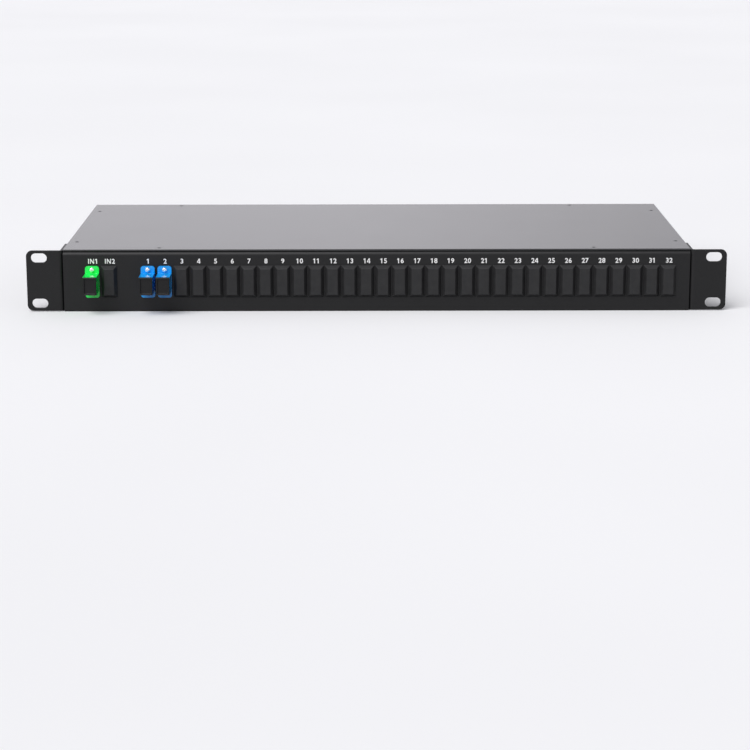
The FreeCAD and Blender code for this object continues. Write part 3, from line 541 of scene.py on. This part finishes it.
lettering = bmesh.new()
for node in nodes:
    kind, _, port = node.partition("_")
    if kind in ("adapter", "blank") and port != "screws":
        low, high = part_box(node)
        shift = INPUT_SHIFT if port.startswith("in") else OUTPUT_SHIFT
        printed(lettering, LABELS.get(port, port.lstrip("0")), (low.x + high.x) / 2 + shift)
numbers = linked("port_numbers", as_mesh(lettering, "port_numbers"))
numbers.data.materials.append(INK)
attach(numbers, "chassis")


# Floor and light, in metres and degrees
FLOOR_REACH = 12
FLOOR_DROP = 0.02 * MM
FLOOR_GRAIN = 0.6
FLOOR_DARK, FLOOR_LIGHT = srgb(241, 241, 243), srgb(245, 245, 247)
FLOOR_BOUNCE = srgb(130, 130, 132)
ROOM_TINT, ROOM_STRENGTH = (0.96, 0.96, 1, 1), 0.4
BACKDROP_TINT = (0.965, 0.95, 1, 1)
BACKDROP_LEFT, BACKDROP_RIGHT = 1.0, 0.7
BACKDROP_FADE = 0.2
SUN_STRENGTH = 2.7
SUN_SPREAD = 50
SUN_AIM = (0.42, 0.62, -0.8)


def pale_rays(tree):
    """Socket that is 1 for rays that see the pale studio: the camera's, mirrored, through glass."""
    rays = tree.nodes.new("ShaderNodeLightPath")
    source = rays.outputs["Is Camera Ray"]
    for kind in ("Is Glossy Ray", "Is Transmission Ray"):
        either = tree.nodes.new("ShaderNodeMath")
        either.operation = "MAXIMUM"
        tree.links.new(source, either.inputs[0])
        tree.links.new(rays.outputs[kind], either.inputs[1])
        source = either.outputs["Value"]
    return source


def choose(tree, plain, pale, end):
    """Show the pale shader to the rays that see the studio, and the plain one to the others."""
    choice = tree.nodes.new("ShaderNodeMixShader")
    tree.links.new(pale_rays(tree), choice.inputs["Fac"])
    tree.links.new(plain, choice.inputs[1])
    tree.links.new(pale, choice.inputs[2])
    tree.links.new(choice.outputs["Shader"], tree.nodes[end].inputs["Surface"])


def studio_floor():
    """Pale floor that throws less light back on the object than its colour would."""
    coat = Surface("studio_floor", roughness=0.7, level=0.2)
    coat.vary("Base Color", coat.noise(size=FLOOR_GRAIN), FLOOR_DARK, FLOOR_LIGHT)
    bounce = coat.tree.nodes.new("ShaderNodeBsdfDiffuse")
    bounce.inputs["Color"].default_value = FLOOR_BOUNCE
    choose(coat.tree, bounce.outputs["BSDF"], coat.shader.outputs["BSDF"], "Material Output")
    corners = [(x * FLOOR_REACH, y * FLOOR_REACH, 0) for x, y in ((-1, -1), (1, -1), (1, 1), (-1, 1))]
    mesh = bpy.data.meshes.new("studio_floor")
    mesh.from_pydata(corners, [], [(0, 1, 2, 3)])
    mesh.materials.append(coat.material)
    floor = linked("studio_floor", mesh)
    floor.location.z = -FLOOR_DROP


def studio_world():
    """Dim room for matt surfaces, and a white backdrop, greyer to the right, for the pale rays."""
    world = bpy.data.worlds.new("studio")
    world.use_nodes = True
    tree = world.node_tree
    room = tree.nodes["Background"]
    room.inputs["Color"].default_value = ROOM_TINT
    room.inputs["Strength"].default_value = ROOM_STRENGTH
    backdrop = tree.nodes.new("ShaderNodeBackground")
    backdrop.inputs["Color"].default_value = BACKDROP_TINT
    aim = tree.nodes.new("ShaderNodeTexCoord")
    split = tree.nodes.new("ShaderNodeSeparateXYZ")
    fade = tree.nodes.new("ShaderNodeMapRange")
    fade.inputs["From Min"].default_value = 0.0
    fade.inputs["From Max"].default_value = BACKDROP_FADE
    fade.inputs["To Min"].default_value = BACKDROP_LEFT
    fade.inputs["To Max"].default_value = BACKDROP_RIGHT
    tree.links.new(aim.outputs["Generated"], split.inputs["Vector"])
    tree.links.new(split.outputs["X"], fade.inputs["Value"])
    tree.links.new(fade.outputs["Result"], backdrop.inputs["Strength"])
    choose(tree, room.outputs["Background"], backdrop.outputs["Background"], "World Output")
    scene.world = world


studio_floor()
sun = bpy.data.lights.new("soft_sun", "SUN")
sun.energy = SUN_STRENGTH
sun.angle = math.radians(SUN_SPREAD)
key = linked("soft_sun", sun)
key.rotation_euler = Vector(SUN_AIM).to_track_quat("-Z", "Y").to_euler()
studio_world()


# Camera as the photograph was taken, with its sensor and lens in millimetres
SENSOR, LENS = 36, 106.11
FAR_CLIP = 50
PITCH, YAW, ROLL = (math.radians(angle) for angle in (13.303, 0.209, -0.067))
CAMERA_PLACE = Vector((-6.71, -1589.91, 308.9)) * MM

camera = linked("camera", bpy.data.cameras.new("camera"))
camera.data.sensor_width = SENSOR
camera.data.lens = LENS
camera.data.clip_end = FAR_CLIP
ahead = Vector((math.sin(YAW) * math.cos(PITCH), math.cos(YAW) * math.cos(PITCH), -math.sin(PITCH)))
turn = ahead.to_track_quat("-Z", "Y").to_matrix() @ Matrix.Rotation(ROLL, 3, "Z")
camera.matrix_world = Matrix.Translation(CAMERA_PLACE) @ turn.to_4x4()
scene.camera = camera
